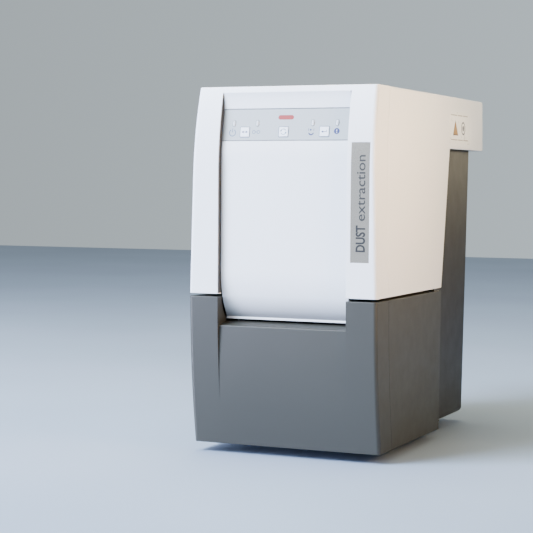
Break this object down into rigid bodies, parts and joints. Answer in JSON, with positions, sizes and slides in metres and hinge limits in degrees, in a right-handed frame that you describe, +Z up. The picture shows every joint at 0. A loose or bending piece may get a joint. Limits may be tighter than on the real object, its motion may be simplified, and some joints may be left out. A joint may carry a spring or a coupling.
{
  "type": "dust extraction unit",
  "caption": "Bench-top dust extraction unit for a dental milling machine, with a white two-part cover, a grey pull-out dust drawer under a curved front panel, a keypad, and a rear intake pipe.",
  "frame": {"origin": "on the surface that the feet stand on, under the middle of the overall width and depth", "axes": "+Z up; the front with the dust drawer faces -Y; +X is on the right hand of someone who stands in front"},
  "size_m": [0.288, 0.5319, 0.53],
  "materials": {
    "white_plastic": "satin, fine moulded texture",
    "grey_plastic": "satin, fine moulded texture",
    "foil": "printed matt film",
    "key_white": "satin",
    "label_grey": "printed matt film",
    "clear_plastic": "frosted",
    "board_green": "solder mask",
    "component_black": "moulded",
    "steel_sheet": "zinc plated",
    "steel_part": "bright",
    "steel_dark": "laminated",
    "aluminium_sheet": "anodised",
    "tub_plastic": "satin",
    "black_rubber": "matt",
    "filter_fabric": "pleated fleece",
    "foam": "open-cell",
    "black_plastic": "satin",
    "brass_part": "plain",
    "carbon": "matt",
    "copper": "varnished winding",
    "rocker_red": "gloss"
  },
  "bodies": {
    "casing": {"acoustic_foam": "foam", "base_plate": "steel_sheet", "bearings": "steel_part", "board_parts": "component_black", "board_standoffs": "brass_part", "breaker_body": "black_plastic", "bulkhead": "steel_sheet", "carbon_brushes": "carbon", "case_screws": "steel_part", "chamber_front": "steel_sheet", "clean_air_duct": "black_plastic", "connector_panel": "aluminium_sheet", "control_board": "board_green", "drawer_seal": "black_rubber", "exhaust_grille": "black_plastic", "fan_can": "aluminium_sheet", "feet": "black_rubber", "filter_deck": "steel_sheet", "filter_frame": "black_plastic", "filter_gasket": "black_rubber", "filter_pleats": "filter_fabric", "front_cover": "white_plastic", "front_label": "label_grey", "hood": "white_plastic", "inlet_pins": "brass_part", "intake_pipe": "black_plastic", "keypad_foil": "foil", "left_side_panel": "grey_plastic", "light_pipes": "clear_plastic", "mains_inlet": "black_plastic", "motor_frame": "aluminium_sheet", "plenum_plate": "steel_sheet", "power_board": "board_green", "rear_housing": "grey_plastic", "right_side_panel": "grey_plastic", "runner_outer": "steel_sheet", "shaker_bracket": "steel_sheet", "shaker_motor": "steel_part", "signal_port": "black_plastic", "stator": "steel_dark", "switch_frame": "black_plastic", "top_plate": "steel_sheet", "turbine_shelf": "steel_sheet"},
    "drawer": {"drawer_front": "grey_plastic", "dust_tub": "tub_plastic", "runner_inner": "steel_sheet", "tub_screws": "steel_part"},
    "runner_stage": {"runner_middle": "steel_sheet"},
    "select_key": {"key_select": "key_white"},
    "start_key": {"key_start": "key_white"},
    "enter_key": {"key_enter": "key_white"},
    "mains_rocker": {"rocker": "rocker_red"},
    "reset_button": {"breaker_button": "key_white"},
    "rotor": {"motor_shaft": "steel_part", "armature": "copper", "impeller": "aluminium_sheet", "cooling_fan": "black_plastic"},
    "shaker_rotor": {"shaker_weight": "steel_part"},
    "left_latch": {"left_filter_latch": "steel_part"},
    "right_latch": {"right_filter_latch": "steel_part"}
  },
  "joints": [
    {"name": "drawer_slide", "type": "slide", "parent": "casing", "child": "drawer", "axis": [0, -1, 0], "range_m": [0, 0.25]},
    {"name": "runner_stage_slide", "type": "slide", "parent": "casing", "child": "runner_stage", "axis": [0, -1, 0], "range_m": [0, 0.125]},
    {"name": "select_key_press", "type": "slide", "parent": "casing", "child": "select_key", "axis": [0, 0.9879, -0.1551], "range_m": [0, 0.0005], "stiffness_N_per_m": 900, "springref_m": -0.001},
    {"name": "start_key_press", "type": "slide", "parent": "casing", "child": "start_key", "axis": [0, 0.9879, -0.1551], "range_m": [0, 0.0005], "stiffness_N_per_m": 900, "springref_m": -0.001},
    {"name": "enter_key_press", "type": "slide", "parent": "casing", "child": "enter_key", "axis": [0, 0.9879, -0.1551], "range_m": [0, 0.0005], "stiffness_N_per_m": 900, "springref_m": -0.001},
    {"name": "mains_rocker_tilt", "type": "hinge", "parent": "casing", "child": "mains_rocker", "pos_m": [-0.001, 0.24002, 0.38803], "axis": [1, 0, 0], "range_deg": [0, 20]},
    {"name": "reset_button_press", "type": "slide", "parent": "casing", "child": "reset_button", "axis": [0, -0.9983, 0.0579], "range_m": [0, 0.003], "stiffness_N_per_m": 700, "springref_m": -0.002},
    {"name": "rotor_spin", "type": "hinge", "parent": "casing", "child": "rotor", "pos_m": [0.025, 0.13, 0.1], "axis": [0, 0, 1], "continuous": true},
    {"name": "shaker_spin", "type": "hinge", "parent": "casing", "child": "shaker_rotor", "pos_m": [0.03, -0.068, 0.452], "axis": [1, 0, 0], "continuous": true},
    {"name": "left_latch_turn", "type": "hinge", "parent": "casing", "child": "left_latch", "pos_m": [-0.112, -0.068, 0.392], "axis": [0, 0, 1], "range_deg": [0, 90]},
    {"name": "right_latch_turn", "type": "hinge", "parent": "casing", "child": "right_latch", "pos_m": [0.112, -0.068, 0.392], "axis": [0, 0, -1], "range_deg": [0, 90]}
  ],
  "couplings": [
    {"joint": "runner_stage_slide", "follows": "drawer_slide", "ratio": 0.5}
  ]
}
